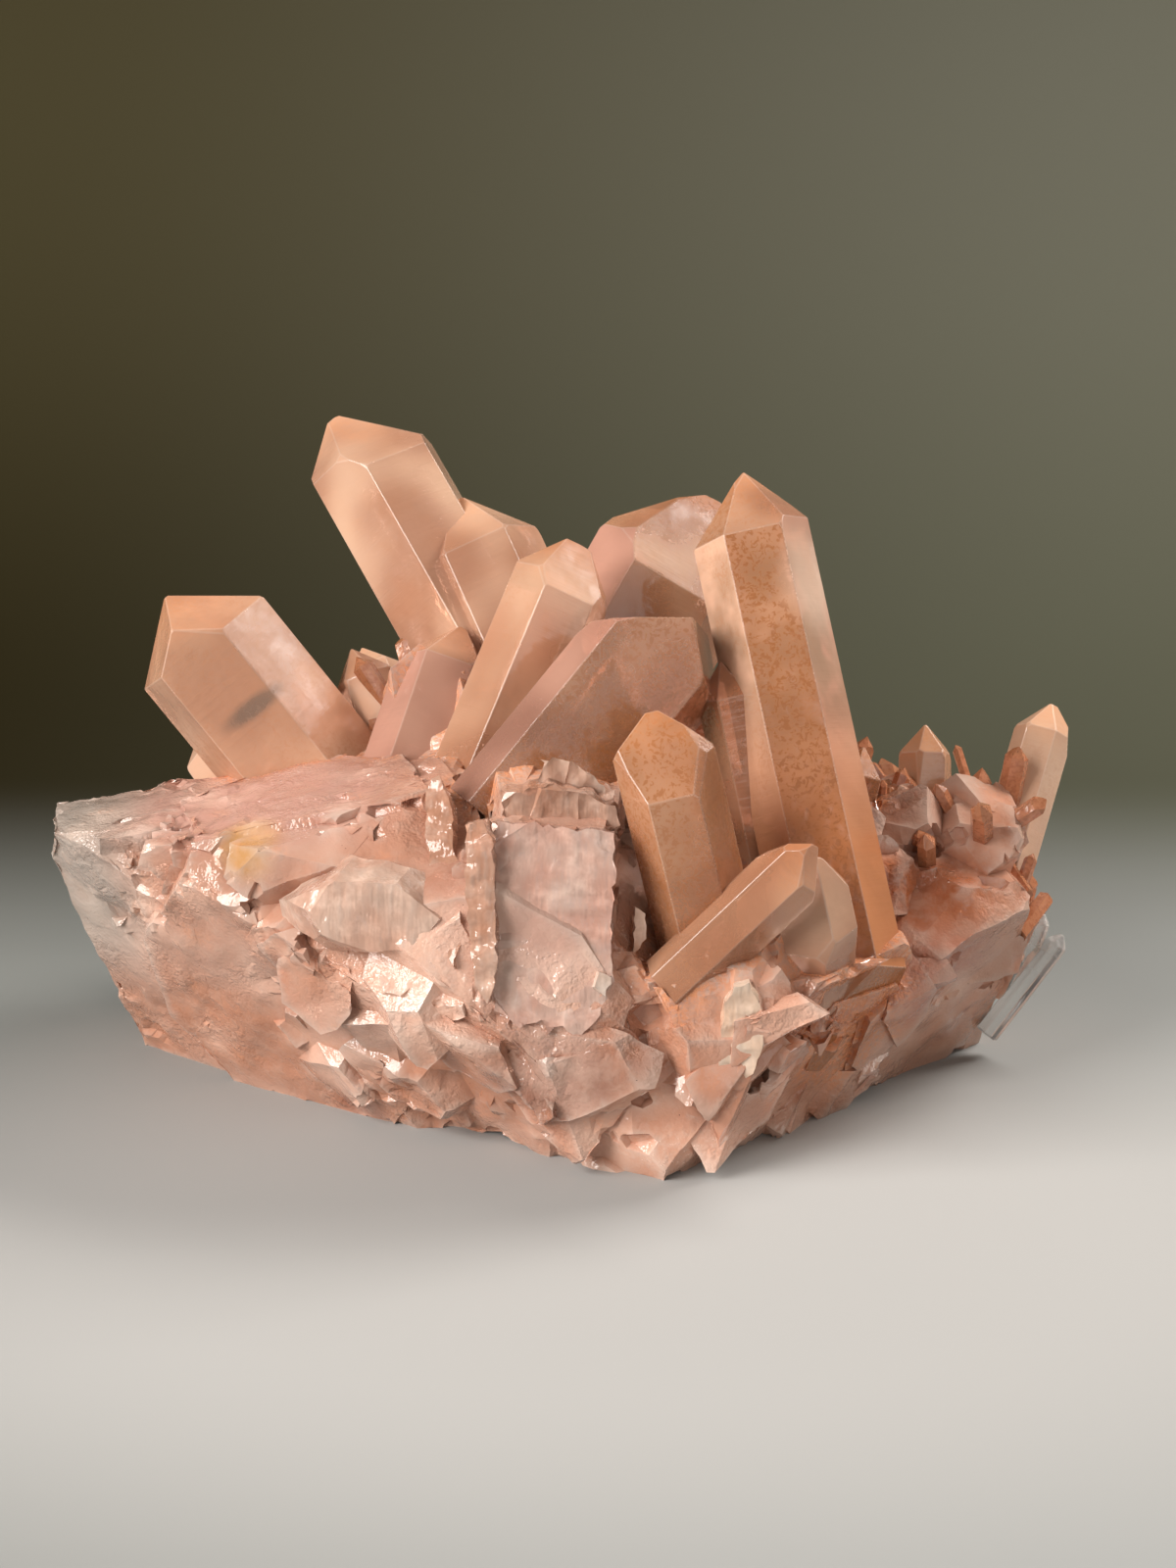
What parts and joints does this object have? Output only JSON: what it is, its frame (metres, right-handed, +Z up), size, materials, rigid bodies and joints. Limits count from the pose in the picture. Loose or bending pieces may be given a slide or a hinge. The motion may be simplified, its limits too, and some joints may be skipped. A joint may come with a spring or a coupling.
{
  "type": "hematoid quartz cluster",
  "caption": "Hematoid quartz cluster: iron-stained quartz points grown together on a broken quartz matrix that rests on a flat underside.",
  "frame": {"origin": "middle of the box that holds the cluster, at the level of the flat it rests on", "axes": "+Z up from the rest, +X to the right as the picture shows it, -Y towards the side that the picture shows"},
  "size_m": [0.1115, 0.0791, 0.0671],
  "materials": {
    "iron_stained_quartz": "glossy"
  },
  "bodies": {
    "root": {"quartz_cluster": "iron_stained_quartz"}
  },
  "joints": []
}
